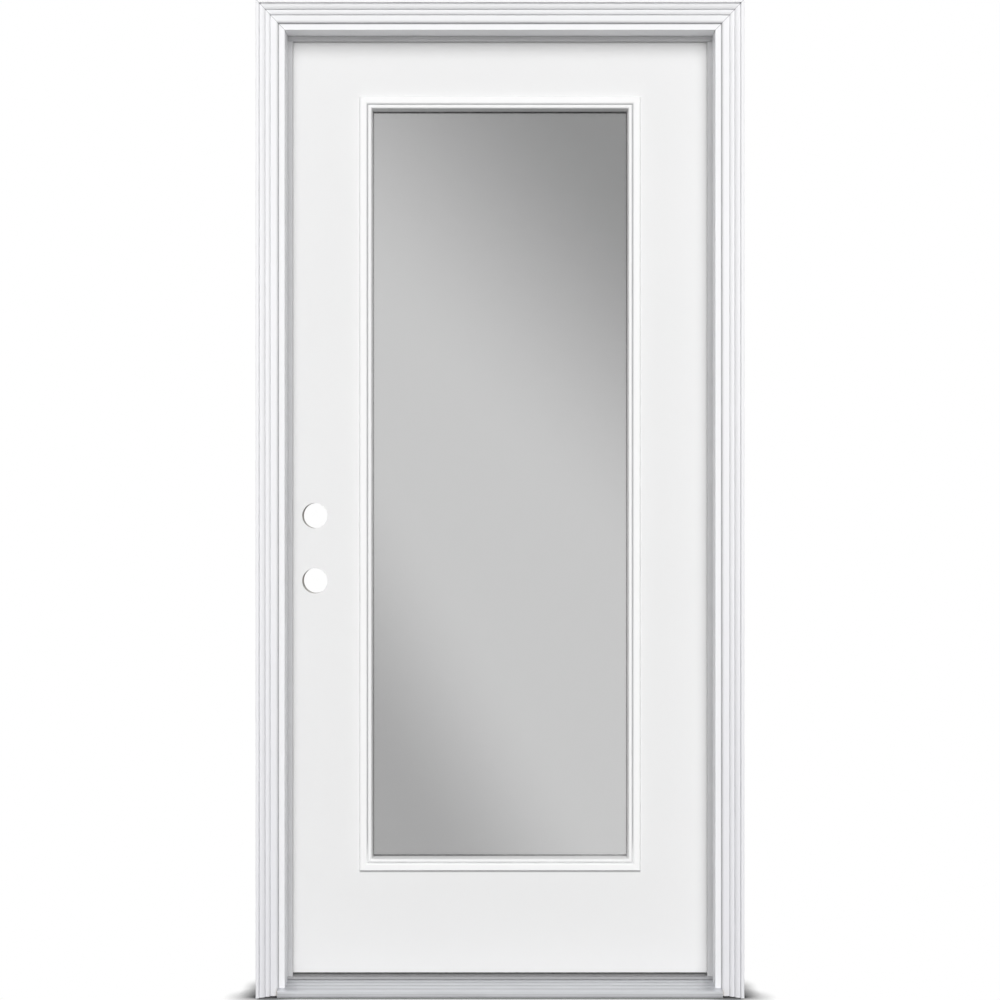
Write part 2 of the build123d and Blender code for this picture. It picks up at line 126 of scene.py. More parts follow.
class FrontDoorFinishes(PropertyGroup):
    """Colours of the door's finishes."""

    frame_white: FloatVectorProperty(
        name="Frame Paint", description="Paint of the jambs and the brickmould",
        subtype="COLOR", size=3, min=0, max=1, default=(0.93, 0.93, 0.945),
    )
    leaf_white: FloatVectorProperty(
        name="Leaf Paint", description="Baked primer on the steel skins",
        subtype="COLOR", size=3, min=0, max=1, default=(0.83, 0.83, 0.83),
    )
    moulded_white: FloatVectorProperty(
        name="Light Frame", description="Moulded frame round the glass",
        subtype="COLOR", size=3, min=0, max=1, default=(0.93, 0.93, 0.93),
    )
    glass_light: FloatProperty(
        name="Glass, Lightest",
        description="Share of light that the pane lets through at its clearest",
        subtype="FACTOR", min=0, max=1, default=0.568,
    )
    # Painted reflection: how much darker the glass gets towards the upper corner
    glass_upper_reflection: FloatProperty(
        name="Glass, Upper Corner",
        description="Share that the tint takes away towards the upper corner",
        subtype="FACTOR", min=0, max=1, default=0.565,
    )
    # Painted reflection: how much darker the glass gets towards the lower corner
    glass_lower_reflection: FloatProperty(
        name="Glass, Lower Corner",
        description="Share that the tint takes away towards the lower corner",
        subtype="FACTOR", min=0, max=1, default=0.35,
    )
    sill_metal: FloatVectorProperty(
        name="Sill Aluminium", description="Mill finish of the ribbed sill",
        subtype="COLOR", size=3, min=0, max=1, default=(0.83, 0.84, 0.865),
    )
    cap_grey: FloatVectorProperty(
        name="Sill Cap", description="Composite cap under the leaf",
        subtype="COLOR", size=3, min=0, max=1, default=(0.36, 0.36, 0.37),
    )
    seal_grey: FloatVectorProperty(
        name="Weatherstrip", description="Skin of the foam seal",
        subtype="COLOR", size=3, min=0, max=1, default=(0.60, 0.60, 0.61),
    )
    timber_pale: FloatVectorProperty(
        name="Pale Wood", description="Early wood of the stiles and rails",
        subtype="COLOR", size=3, min=0, max=1, default=(0.62, 0.47, 0.30),
    )
    timber_dark: FloatVectorProperty(
        name="Dark Wood", description="Late wood of the stiles and rails",
        subtype="COLOR", size=3, min=0, max=1, default=(0.40, 0.25, 0.13),
    )
    hinge_nickel: FloatVectorProperty(
        name="Hinge Nickel", description="Satin nickel of hinges and screws",
        subtype="COLOR", size=3, min=0, max=1, default=(0.66, 0.64, 0.60),
    )


class FrontDoorHardware(PropertyGroup):
    """Sizes and places of the screws and plugs."""

    hinge_face: FloatProperty(
        name="Jamb Leaf Face",
        description="Distance of the jamb leaf's bare face from the middle of the door",
        subtype="DISTANCE", unit="LENGTH", default=0.4622,
    )
    stile_face: FloatProperty(
        name="Door Leaf Face",
        description="Distance of the door leaf's bare face from the middle of the door",
        subtype="DISTANCE", unit="LENGTH", default=0.4572,
    )
    hinge_middle: FloatProperty(
        name="Hinge Depth",
        description="Middle of the hinge leaf's width, measured into the house",
        subtype="DISTANCE", unit="LENGTH", default=0.1004,
    )
    row_outer: FloatProperty(
        name="Outer Rows", description="Height of the outer screw rows from the hinge's middle",
        subtype="DISTANCE", unit="LENGTH", default=0.036,
    )
    row_inner: FloatProperty(
        name="Inner Rows", description="Height of the inner screw rows from the hinge's middle",
        subtype="DISTANCE", unit="LENGTH", default=0.014,
    )
    stagger: FloatProperty(
        name="Stagger", description="Sideways step of each screw from the leaf's middle",
        subtype="DISTANCE", unit="LENGTH", default=0.005,
    )
    screw_head: FloatProperty(
        name="Screw Head", description="Radius of a countersunk screw head",
        subtype="DISTANCE", unit="LENGTH", default=0.0042,
    )
    screw_proud: FloatProperty(
        name="Screw Height", description="Height of a screw head over the leaf it holds",
        subtype="DISTANCE", unit="LENGTH", default=0.0004,
    )
    plug_radius: FloatProperty(
        name="Plug Radius", description="Radius of the plugs over the light frame's screws",
        subtype="DISTANCE", unit="LENGTH", default=0.0034,
    )
    plugs_up: IntProperty(
        name="Plugs Up a Side", description="Plugs on each long side of the light frame",
        min=2, default=7,
    )
    plugs_across: IntProperty(
        name="Plugs Across", description="Plugs on each short side of the light frame",
        min=2, default=3,
    )
    cap_screws: IntProperty(
        name="Cap Screws", description="Adjusting screws along the sill's cap",
        min=2, default=4,
    )


class FrontDoorStudio(PropertyGroup):
    """Camera and lamps."""

    camera_distance: FloatProperty(
        name="Camera Distance", description="Camera to the plane of the jambs' outside edges",
        subtype="DISTANCE", unit="LENGTH", default=4.6,
    )
    eye_height: FloatProperty(
        name="Eye Height", description="Camera above the floor",
        subtype="DISTANCE", unit="LENGTH", default=1.0443,
    )
    eye_shift: FloatProperty(
        name="Eye Sideways", description="Camera to the right of the door's middle",
        subtype="DISTANCE", unit="LENGTH", default=0.0,
    )
    lens: FloatProperty(
        name="Lens", description="Focal length on a 36 mm sensor, in millimetres",
        min=10, default=78.49,
    )
    ambient: FloatProperty(
        name="Room Light", description="Even light from all round", min=0, default=0.25,
    )
    key_strength: FloatProperty(
        name="Key Light", description="Strength of the soft light near the camera",
        min=0, default=2.47,
    )
    fill_strength: FloatProperty(
        name="Fill Light", description="Strength of the soft light from the left",
        min=0, default=0.25,
    )
    back_strength: FloatProperty(
        name="Back Light", description="Strength of the soft light on the house side",
        min=0, default=2.1,
    )


class Wire:
    """A socket of a node tree, so that sums of values can be written as sums."""

    def __init__(self, tree, socket):
        self.tree = tree
        self.socket = socket

    def __add__(self, other):
        return self.tree.maths("ADD", self, other)

    def __sub__(self, other):
        return self.tree.maths("SUBTRACT", self, other)

    def __rsub__(self, other):
        return self.tree.maths("SUBTRACT", other, self)

    def __mul__(self, other):
        return self.tree.maths("MULTIPLY", self, other)

    def __truediv__(self, other):
        return self.tree.maths("DIVIDE", self, other)

    def __pow__(self, other):
        return self.tree.maths("POWER", self, other)

    def __abs__(self):
        return self.tree.maths("ABSOLUTE", self)

    __radd__ = __add__
    __rmul__ = __mul__


class Finish:
    """The node tree of a material or of the world, filled by short calls."""

    def __init__(self, owner):
        self.owner = owner
        owner.use_nodes = True
        self.tree = owner.node_tree
        self.tree.nodes.clear()

    def node(self, kind, settings=None, sockets=None, output=0):
        """Adds a node: its settings first, then values and links for its sockets."""
        made = self.tree.nodes.new(kind)
        for name, setting in (settings or {}).items():
            setattr(made, name, setting)
        for name, value in (sockets or {}).items():
            if isinstance(value, Wire):
                self.tree.links.new(value.socket, made.inputs[name])
            else:
                made.inputs[name].default_value = value
        return Wire(self, made.outputs[output])

    def maths(self, operation, *values):
        return self.node("ShaderNodeMath", {"operation": operation}, dict(enumerate(values)))

    def point(self, scale=(1, 1, 1), shift=(0, 0, 0)):
        """Object coordinates, packed or drawn out by the scale, then shifted."""
        place = self.node("ShaderNodeTexCoord", output="Object")
        sockets = {"Vector": place, "Scale": scale, "Location": shift}
        return self.node("ShaderNodeMapping", sockets=sockets)

    def axes(self, point):
        split = self.node("ShaderNodeSeparateXYZ", sockets={"Vector": point})
        return [split] + [Wire(self, split.socket.node.outputs[axis]) for axis in (1, 2)]

    def noise(self, point, scale=1.0, detail=2.0, roughness=0.5):
        sockets = {"Vector": point, "Scale": scale, "Detail": detail, "Roughness": roughness}
        return self.node("ShaderNodeTexNoise", sockets=sockets)

    def ramp(self, value, low, high):
        """Rises smoothly from 0 at low to 1 at high."""
        sockets = {"Value": value, "From Min": low, "From Max": high}
        return self.node("ShaderNodeMapRange", {"interpolation_type": "SMOOTHSTEP"}, sockets)

    def fall(self, value, low, high):
        """Falls smoothly from 1 at low to 0 at high."""
        return 1 - self.ramp(value, low, high)

    def mix(self, share, first, second):
        """Colour that goes from the first to the second."""
        sockets = {0: share, 6: first, 7: second}
        return self.node("ShaderNodeMix", {"data_type": "RGBA"}, sockets, output=2)

    def relief(self, height, depth, strength=1.0):
        """Normal of a surface whose height runs over that depth in metres."""
        sockets = {"Height": height, "Distance": depth, "Strength": strength}
        return self.node("ShaderNodeBump", sockets=sockets)

    def surface(self, **sockets):
        """Ends the material with the standard shader; a word's underscores stand for spaces."""
        named = {name.replace("_", " "): value for name, value in sockets.items()}
        self.end(self.node("ShaderNodeBsdfPrincipled", sockets=named))
        return self.owner

    def end(self, shader, kind="ShaderNodeOutputMaterial"):
        self.tree.links.new(shader.socket, self.tree.nodes.new(kind).inputs["Surface"])


def new_finish(name):
    return Finish(bpy.data.materials.new(name))


def rgba(colour, share=1.0):
    """Colour with alpha, at that share of its brightness."""
    return (*(channel * share for channel in colour), 1.0)


def grain(along, fine, coarse):
    """Scale that packs a pattern fine across the grain and draws it out along one axis."""
    return tuple(coarse if axis == along else fine for axis in range(3))


def dress(material, *names):
    """Puts a material on the slots of CAD nodes."""
    for name in names:
        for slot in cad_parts[name].material_slots:
            slot.material = material


def painted_timber(name, colour, along, low_shade_share):
    """Primed wood: brush marks, fine dark lines at mitres, painted shade along the brickmould's
    inner edge, and painted shade greying it towards the bottom.
    """
    finish = new_finish(name)
    across, through, height = finish.axes(finish.point())
    marks = finish.noise(finish.point(grain(along, 900, 9)), detail=2)
    patches = finish.noise(finish.point(grain(along, 9, 2)), detail=2)
    off_mitre = abs(abs(across) - height + (stop_top - stop_half))
    mitre = finish.fall(off_mitre, *MITRE_LINE)
    past_moulding = finish.maths("MAXIMUM", abs(across) - moulding_half, height - moulding_top)
    # Painted shade in the crease where the brickmould's inner edge meets the jamb, on the street
    # face only
    crease_shade = finish.fall(abs(past_moulding + 0.0004), *CREASE_SHADE_LINE)
    street_face = finish.maths("LESS_THAN", through, 0.002)
    # Painted shade: the paint turns greyer towards the bottom, most on the brickmould
    low_shade = finish.fall(height, -0.3, 1.5) * (low_shade_share + 0.2 * patches)
    paint = finish.mix(patches, rgba(colour), rgba(colour, 0.975))
    paint = finish.mix(low_shade, paint, LOW_SHADE_GREY)
    paint = finish.mix(mitre * 0.75, paint, JOINT_AND_SHADE_GREY)
    paint = finish.mix(crease_shade * street_face * 0.7, paint, JOINT_AND_SHADE_GREY)
    return finish.surface(
        Base_Color=paint,
        Roughness=0.42 + 0.08 * marks,
        Normal=finish.relief(marks, 0.00001, 0.5),
    )


def primed_steel(name, colour):
    """Baked primer over steel sheet: a faint orange peel, and a painted shadow under the light's
    frame.
    """
    finish = new_finish(name)
    low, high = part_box("lite_frame_outside")
    across, _, height = finish.axes(finish.point())
    # Painted shadow on the skin just below the light frame's bottom edge
    close_below = finish.fall(low.z - height, 0.0015, 0.0055)
    between_ends = finish.fall(abs(across), high.x - 0.002, high.x + 0.001)
    frame_shadow = finish.maths("LESS_THAN", height, low.z + 0.001) * close_below * between_ends
    peel = finish.noise(finish.point(), 620, 1)
    clouds = finish.noise(finish.point(), 3, 2)
    primer = finish.mix(clouds, rgba(colour), rgba(colour, 0.985))
    return finish.surface(
        Base_Color=finish.mix(frame_shadow * 0.75, primer, FRAME_SHADOW_GREY),
        Roughness=0.42 + 0.08 * clouds,
        Normal=finish.relief(peel, FINE_RELIEF, 0.5),
    )


def moulded_plastic(name, colour, texture=1100, shine=0.38):
    """Injection-moulded plastic with a fine even texture."""
    finish = new_finish(name)
    stipple = finish.noise(finish.point(), texture, 2)
    clouds = finish.noise(finish.point(), 7, 2)
    return finish.surface(
        Base_Color=finish.mix(clouds, rgba(colour), rgba(colour, 0.97)),
        Roughness=shine + 0.1 * stipple,
        Normal=finish.relief(stipple, FINE_RELIEF, 0.5),
    )


def grooved_frame(name, colour):
    """Moulded plastic of the light's frame: painted shade in its groove, weaker in the lower rail.
    """
    finish = new_finish(name)
    low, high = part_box("lite_frame_outside")
    across, _, height = finish.axes(finish.point())
    from_side = high.x - abs(across)
    from_end = (high.z - low.z) / 2 - abs(height - (high.z + low.z) / 2)
    off_groove = abs(finish.maths("MINIMUM", from_side, from_end) - LIGHT_GROOVE)
    # Painted shade in the groove, weaker in the lower rail, where light from above reaches into it
    above_foot = finish.ramp(height, low.z + 0.015, low.z + 0.08)
    painted_shade = finish.fall(off_groove, *GROOVE_SHADE_LINE) * (0.15 + 0.65 * above_foot)
    stipple = finish.noise(finish.point(), 1100, 2)
    return finish.surface(
        Base_Color=finish.mix(painted_shade, rgba(colour), GROOVE_SHADE_GREY),
        Roughness=0.38 + 0.1 * stipple,
        Normal=finish.relief(stipple, FINE_RELIEF, 0.5),
    )


def glass_tint_and_painted_reflection(name, clearest, upper_reflection_share, lower_reflection_share):
    """Float glass with a grey tint, and painted reflection that darkens it towards two opposite
    corners.
    """
    finish = new_finish(name)
    across, _, height = finish.axes(finish.point())
    # Painted reflection: less light comes through towards the upper and the lower corner
    upper = finish.ramp(across + height * UPPER_LEAN, UPPER_START, UPPER_END)
    lower = finish.fall(across * LOWER_LEAN + height, LOWER_START, LOWER_END)
    through = (1 - upper * upper_reflection_share) * (1 - lower * lower_reflection_share) * clearest
    # Light crosses two faces of the pane, so each face lets the root of the share through
    return finish.surface(
        Base_Color=GLASS_BODY,
        Roughness=0.0,
        IOR=1.5,
        Alpha=1 - through ** 0.5,
    )


def bare_timber(name, pale, dark, along, shine=0.62):
    """Planed softwood: growth rings that wander along the grain, and fine fibres."""
    finish = new_finish(name)
    wander = finish.noise(finish.point(grain(along, 14, 1.3), (0.2, 0.1, 0.4)), detail=2)
    fibres = finish.noise(finish.point(grain(along, 900, 14)), detail=2)
    places = finish.axes(finish.point(shift=(0.017, -0.06, 0.023)))
    first, second = [place for axis, place in enumerate(places) if axis != along]
    rings = (first ** 2 + second ** 2) ** 0.5 * 210 + wander * 9
    late = finish.maths("FRACT", rings) ** 2.5
    wood = finish.mix(late * 0.75 + fibres * 0.2, rgba(pale), rgba(dark))
    return finish.surface(
        Base_Color=wood,
        Roughness=shine + 0.15 * fibres,
        Normal=finish.relief(fibres, 0.0001, 0.7),
    )


def drawn_metal(name, colour, along, shine, lines=900):
    """Metal with the fine lines of drawing or brushing along one axis."""
    finish = new_finish(name)
    brush = finish.noise(finish.point(grain(along, lines, 6)), detail=3, roughness=0.6)
    smears = finish.noise(finish.point(grain(along, 40, 6)), detail=3)
    return finish.surface(
        Base_Color=finish.mix(smears, rgba(colour), rgba(colour, 0.86)),
        Metallic=1.0,
        Roughness=shine + 0.16 * brush + 0.1 * smears,
        Normal=finish.relief(brush, FINE_RELIEF, 0.5),
    )


def sill_tread(name, colour):
    """Drawn aluminium with painted shade in the grooves of its tread and a painted shadow line
    along the nose.
    """
    finish = new_finish(name)
    _, through, height = finish.axes(finish.point())
    # Painted shade in the tread's grooves and a painted shadow line along the nose
    beat = abs(finish.maths("FRACT", (through - TREAD_GROOVE) / TREAD_PITCH) - 0.5)
    tread = finish.fall((0.5 - beat) * TREAD_PITCH, *TREAD_LINE)
    nose = finish.fall(abs(height - NOSE_LINE), *NOSE_EDGE) * 0.6
    painted_shade = finish.maths("MAXIMUM", tread, nose)
    brush = finish.noise(finish.point(grain(ACROSS, 900, 6)), detail=3, roughness=0.6)
    smears = finish.noise(finish.point(grain(ACROSS, 40, 6)), detail=3)
    metal = finish.mix(smears, rgba(colour), rgba(colour, 0.88))
    return finish.surface(
        Base_Color=finish.mix(painted_shade * 0.45, metal, rgba(colour, 0.45)),
        Metallic=1.0,
        Roughness=0.34 + 0.16 * brush + 0.1 * smears,
        Normal=finish.relief(brush, FINE_RELIEF, 0.5),
    )


def sill_composite(name, front, top):
    """Composite cap, darker in front and paler on top, where painted light brightens the leaf's
    shade.
    """
    finish = new_finish(name)
    _, through, _ = finish.axes(finish.point())
    # Painted light: the cap is paler where the leaf shades it
    painted_light_under_leaf = finish.ramp(through, CAP_UNCOVERED, CAP_COVERED)
    stipple = finish.noise(finish.point(), 700, 2)
    return finish.surface(
        Base_Color=finish.mix(painted_light_under_leaf, rgba(front), rgba(top)),
        Roughness=0.5 + 0.1 * stipple,
        Normal=finish.relief(stipple, FINE_RELIEF, 0.5),
    )


def foam_seal(name, colour):
    """Soft foam in a thin smooth skin that shows the cells a little."""
    finish = new_finish(name)
    cells = finish.node("ShaderNodeTexVoronoi", sockets={"Vector": finish.point(), "Scale": 520})
    clouds = finish.noise(finish.point(), 30, 3)
    return finish.surface(
        Base_Color=finish.mix(clouds, rgba(colour), rgba(colour, 0.9)),
        Roughness=0.55 + 0.2 * cells,
        Normal=finish.relief(cells, 0.0001, 0.5),
    )


def solid_foam(name, colour):
    """Rigid insulating foam, cut, with open cells."""
    finish = new_finish(name)
    cells = finish.node("ShaderNodeTexVoronoi", sockets={"Vector": finish.point(), "Scale": 1300})
    return finish.surface(
        Base_Color=finish.mix(cells, rgba(colour, 0.8), rgba(colour)),
        Roughness=0.85 + 0.1 * cells,
        Normal=finish.relief(cells, 0.0003),
    )


def spacer_bar(name, colour):
    """Aluminium bar with a line of breathing holes down its middle."""
    finish = new_finish(name)
    across, through, height = finish.axes(finish.point())
    off_row = abs(through - SPACER_MIDDLE) / SPACER_PITCH
    off_hole = []
    for run in (across, height):
        beat = abs(finish.maths("FRACT", run / SPACER_PITCH) - 0.5)
        off_hole.append(beat ** 2)
    hole = finish.fall((off_hole[0] + off_hole[1]) * 0.5 + off_row ** 2, 0.02, 0.05)
    brush = finish.noise(finish.point((300, 300, 300)), detail=2)
    return finish.surface(
        Base_Color=finish.mix(hole, rgba(colour), rgba(colour, 0.1)),
        Metallic=1.0,
        Roughness=0.35 + 0.15 * brush,
    )


def shade_by_angle(bm, angle=math.radians(35)):
    """Smooth faces that stay crisp along edges sharper than the angle."""
    for face in bm.faces:
        face.smooth = True
    for edge in bm.edges:
        edge.smooth = edge.calc_face_angle(0) < angle


def screw_head(bm, radius, proud):
    """Nearly flush head on Z, that proud of zero, with a cross recess and a bevelled rim."""
    # Flat top and arm length of the radius, arm width, recess depth of the height, its taper
    flat, arm, slim, sink, taper = 0.93, 0.56, 0.45, 0.85, 0.75
    bmesh.ops.create_circle(bm, segments=28, radius=radius * flat)
    rim = bm.edges[:]
    reach = radius * arm
    cross = bmesh.ops.create_grid(bm, x_segments=3, y_segments=3, size=reach)["verts"]
    corners = [v for v in cross if min(abs(v.co.x), abs(v.co.y)) > reach * 0.9]
    bmesh.ops.delete(bm, geom=corners, context="VERTS")
    cross = [v for v in cross if v.is_valid]
    bmesh.ops.scale(bm, vec=(slim, 1, 1), verts=[v for v in cross if abs(v.co.x) < reach / 2])
    bmesh.ops.scale(bm, vec=(1, slim, 1), verts=[v for v in cross if abs(v.co.y) < reach / 2])
    floor_faces = bm.faces[:]
    outline = [edge for edge in bm.edges if len(edge.link_faces) == 1]
    bmesh.ops.bridge_loops(bm, edges=rim + outline)
    sunk = bmesh.ops.extrude_face_region(bm, geom=floor_faces)["geom"]
    sunk = [item for item in sunk if isinstance(item, bmesh.types.BMVert)]
    bmesh.ops.translate(bm, vec=(0, 0, -proud * sink), verts=sunk)
    bmesh.ops.scale(bm, vec=(taper, taper, 1), verts=sunk)
    left_over = [face for face in floor_faces if face.is_valid]
    bmesh.ops.delete(bm, geom=left_over, context="FACES_ONLY")
    edge_loop = rim
    for drop in (0.45, 1.4):
        grown = bmesh.ops.extrude_edge_only(bm, edges=edge_loop)["geom"]
        ring = [item for item in grown if isinstance(item, bmesh.types.BMVert)]
        edge_loop = [item for item in grown if isinstance(item, bmesh.types.BMEdge)]
        widen = radius / ring[0].co.to_2d().length
        bmesh.ops.scale(bm, vec=(widen, widen, 1), verts=ring)
        bmesh.ops.translate(bm, vec=(0, 0, -drop * proud - ring[0].co.z), verts=ring)
    bmesh.ops.contextual_create(bm, geom=edge_loop)
    bmesh.ops.translate(bm, vec=(0, 0, proud), verts=bm.verts)
    bmesh.ops.recalc_face_normals(bm, faces=bm.faces)


def driven_screw(hardware):
    """Maker of a screw head at the sizes that the panel shows."""
    return lambda bm: screw_head(bm, hardware.screw_head, hardware.screw_proud)


def domed_plug(bm, radius, height):
    """Snap-in plug standing on Z zero: a short wall, a rounded rim and a slightly domed top."""
    bmesh.ops.create_cone(
        bm, cap_ends=True, segments=32, radius1=radius, radius2=radius, depth=height,
        matrix=Matrix.Translation((0, 0, height / 2)),
    )
    top = max(bm.faces, key=lambda face: face.calc_center_median().z)
    bmesh.ops.bevel(
        bm, geom=top.edges[:], offset=height * 0.5, segments=3, profile=0.5,
        affect="EDGES", material=-1,
    )
    top = max(bm.faces, key=lambda face: (round(face.calc_center_median().z, 7), len(face.verts)))
    for _ in range(3):
        bmesh.ops.inset_region(bm, faces=[top], thickness=radius * 0.22)
        bmesh.ops.translate(bm, vec=(0, 0, height * 0.05), verts=top.verts)
    bmesh.ops.recalc_face_normals(bm, faces=bm.faces)


def place_copies(name, maker, places, material, body):
    """One piece that holds the maker's shape at each place."""
    bm = bmesh.new()
    maker(bm)
    shade_by_angle(bm)
    pattern = bpy.data.meshes.new(name + "_pattern")
    bm.to_mesh(pattern)
    bm.clear()
    for place in places:
        before = len(bm.verts)
        bm.from_mesh(pattern)
        bmesh.ops.transform(bm, matrix=place, verts=bm.verts[before:])
    mesh = bpy.data.meshes.new(name)
    bm.to_mesh(mesh)
    bm.free()
    bpy.data.meshes.remove(pattern)
    mesh.materials.append(material)
    piece = bpy.data.objects.new(name, mesh)
    bpy.context.scene.collection.objects.link(piece)
    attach(piece, body)


def evenly(start, end, count):
    """Places spread evenly from start to end."""
    return [start + (end - start) * number / (count - 1) for number in range(count)]


def facing(direction, place, turn=0.0):
    """Matrix that stands a shape's Z axis along a direction at a place, turned about it."""
    stand = Vector(direction).to_track_quat("Z", "Y").to_matrix().to_4x4()
    return Matrix.Translation(place) @ stand @ Matrix.Rotation(turn, 4, "Z")


class FRONTDOOR_OT_paint_frame(Operator):
    """Paint the jambs and the brickmould"""

    bl_idname = "front_door.paint_frame"
    bl_label = "Paint Frame"

    def execute(self, context):
        white = context.scene.front_door_finishes.frame_white
        dress(painted_timber("jamb_paint", white, UPRIGHT, 0.1), "jamb_latch", "jamb_hinge")
        dress(painted_timber("moulding_paint", white, UPRIGHT, 0.55),
              "brickmould_left", "brickmould_right")
        dress(painted_timber("head_paint", white, ACROSS, 0), "jamb_head", "brickmould_head")
        return {"FINISHED"}


class FRONTDOOR_OT_finish_sill(Operator):
    """Finish the sill's aluminium, its timber and its cap"""

    bl_idname = "front_door.finish_sill"
    bl_label = "Finish Sill"

    def execute(self, context):
        finishes = context.scene.front_door_finishes
        dress(sill_tread("sill_aluminium", finishes.sill_metal), "sill_deck")
        dress(bare_timber("sill_timber", *SILL_WOOD, ACROSS, 0.7), "sill_base")
        dress(sill_composite("sill_composite", finishes.cap_grey, CAP_TOP_PAINTED_LIGHT), "sill_cap")
        return {"FINISHED"}


class FRONTDOOR_OT_fit_seals(Operator):
    """Finish the weatherstrip and the sweep"""

    bl_idname = "front_door.fit_seals"
    bl_label = "Fit Seals"

    def execute(self, context):
        finishes = context.scene.front_door_finishes
        dress(foam_seal("weatherstrip_foam", finishes.seal_grey),
              "weatherstrip_left", "weatherstrip_right", "weatherstrip_head")
        dress(moulded_plastic("sweep_vinyl", SWEEP_BLACK, 900, 0.5), "door_sweep")
        return {"FINISHED"}


class FRONTDOOR_OT_paint_leaf(Operator):
    """Paint the steel skins and finish the light's two frames"""

    bl_idname = "front_door.paint_leaf"
    bl_label = "Paint Leaf"

    def execute(self, context):
        finishes = context.scene.front_door_finishes
        dress(primed_steel("leaf_primer", finishes.leaf_white), "skin_outside", "skin_inside")
        dress(grooved_frame("light_frame_white", finishes.moulded_white),
              "lite_frame_outside", "lite_frame_inside")
        return {"FINISHED"}


class FRONTDOOR_OT_finish_core(Operator):
    """Finish the timber and foam inside the leaf"""

    bl_idname = "front_door.finish_core"
    bl_label = "Finish Core"

    def execute(self, context):
        finishes = context.scene.front_door_finishes
        pale, dark = finishes.timber_pale, finishes.timber_dark
        dress(bare_timber("stile_timber", pale, dark, UPRIGHT), "stile_latch", "stile_hinge")
        dress(bare_timber("lock_block_timber", *BLOCK_WOOD, UPRIGHT, 0.7), "lock_block")
        dress(bare_timber("rail_timber", pale, dark, ACROSS), "rail_top", "rail_bottom")
        dress(solid_foam("core_foam", FOAM_CREAM),
              "foam_top", "foam_bottom", "foam_hinge_side", "foam_latch_upper", "foam_latch_lower")
        return {"FINISHED"}


class FRONTDOOR_OT_glaze_light(Operator):
    """Glaze the light with two panes and their spacer bar"""

    bl_idname = "front_door.glaze_light"
    bl_label = "Glaze Light"

    def execute(self, context):
        finishes = context.scene.front_door_finishes
        tint = finishes.glass_light, finishes.glass_upper_reflection, finishes.glass_lower_reflection
        dress(glass_tint_and_painted_reflection("glass_tinted_painted_reflection", *tint), "glass_inside")
        dress(glass_tint_and_painted_reflection("glass_clear", 0.97, 0, 0.02), "glass_outside")
        dress(spacer_bar("spacer_aluminium", SPACER_ALUMINIUM), "glass_spacer")
        return {"FINISHED"}


class FRONTDOOR_OT_finish_hinges(Operator):
    """Finish the hinge leaves and pins and drive their screws"""

    bl_idname = "front_door.finish_hinges"
    bl_label = "Finish Hinges"

    def execute(self, context):
        hardware = context.scene.front_door_hardware
        plate = context.scene.front_door_finishes.hinge_nickel
        nickel = drawn_metal("hinge_nickel", plate, UPRIGHT, 0.22, 1500)
        for level in LEVELS:
            dress(nickel, f"frame_leaf_{level}", f"door_leaf_{level}", f"hinge_pin_{level}")
        outer, inner = hardware.row_outer, hardware.row_inner
        rows = (-outer, -inner, inner, outer)
        sides = (
            ("jamb_screws", "frame_leaf", "frame", hardware.hinge_face, -1),
            ("stile_screws", "door_leaf", "door", hardware.stile_face, 1),
        )
        for name, leaf, body, face, outward in sides:
            places = []
            for level in LEVELS:
                low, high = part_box(f"{leaf}_{level}")
                for row, offset in enumerate(rows):
                    step = hardware.stagger if row % 2 else -hardware.stagger
                    place = (face, hardware.hinge_middle + step, (low.z + high.z) / 2 + offset)
                    turn = 0.7 * row + 0.4 * len(places)
                    places.append(facing((outward, 0, 0), place, turn))
            place_copies(name, driven_screw(hardware), places, nickel, body)
        return {"FINISHED"}


class FRONTDOOR_OT_plug_light_frame(Operator):
    """Press plugs over the screws of the light's inner frame"""

    bl_idname = "front_door.plug_light_frame"
    bl_label = "Plug Light Frame"

    def execute(self, context):
        finishes = context.scene.front_door_finishes
        hardware = context.scene.front_door_hardware
        low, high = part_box("lite_frame_inside")
        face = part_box("skin_inside")[1].y + PLUG_DEPTH
        spots = []
        for up in evenly(low.z + PLUG_CORNER, high.z - PLUG_CORNER, hardware.plugs_up):
            spots += [(low.x + PLUG_INSET, face, up), (high.x - PLUG_INSET, face, up)]
        for along in evenly(low.x + PLUG_CORNER, high.x - PLUG_CORNER, hardware.plugs_across):
            spots += [(along, face, low.z + PLUG_INSET), (along, face, high.z - PLUG_INSET)]
        places = [facing((0, 1, 0), spot) for spot in spots]
        white = moulded_plastic("plug_white", finishes.moulded_white, 1500, 0.3)
        place_copies("light_frame_plugs",
                     lambda bm: domed_plug(bm, hardware.plug_radius, PLUG_HEIGHT),
                     places, white, "door")
        return {"FINISHED"}


class FRONTDOOR_OT_fit_cap_screws(Operator):
    """Fit the adjusting screws along the sill's cap"""

    bl_idname = "front_door.fit_cap_screws"
    bl_label = "Fit Cap Screws"

    def execute(self, context):
        hardware = context.scene.front_door_hardware
        low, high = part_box("sill_cap")
        steel = drawn_metal("cap_screw_zinc", SCREW_ZINC, UPRIGHT, 0.3)
        step = (high.x - low.x) / hardware.cap_screws
        places = []
        for number in range(hardware.cap_screws):
            place = (low.x + step * (number + 0.5), high.y - CAP_SCREW_INSET, high.z)
            places.append(facing((0, 0, 1), place, turn=0.9 * number))
        place_copies("cap_screws", driven_screw(hardware), places, steel, "frame")
        return {"FINISHED"}


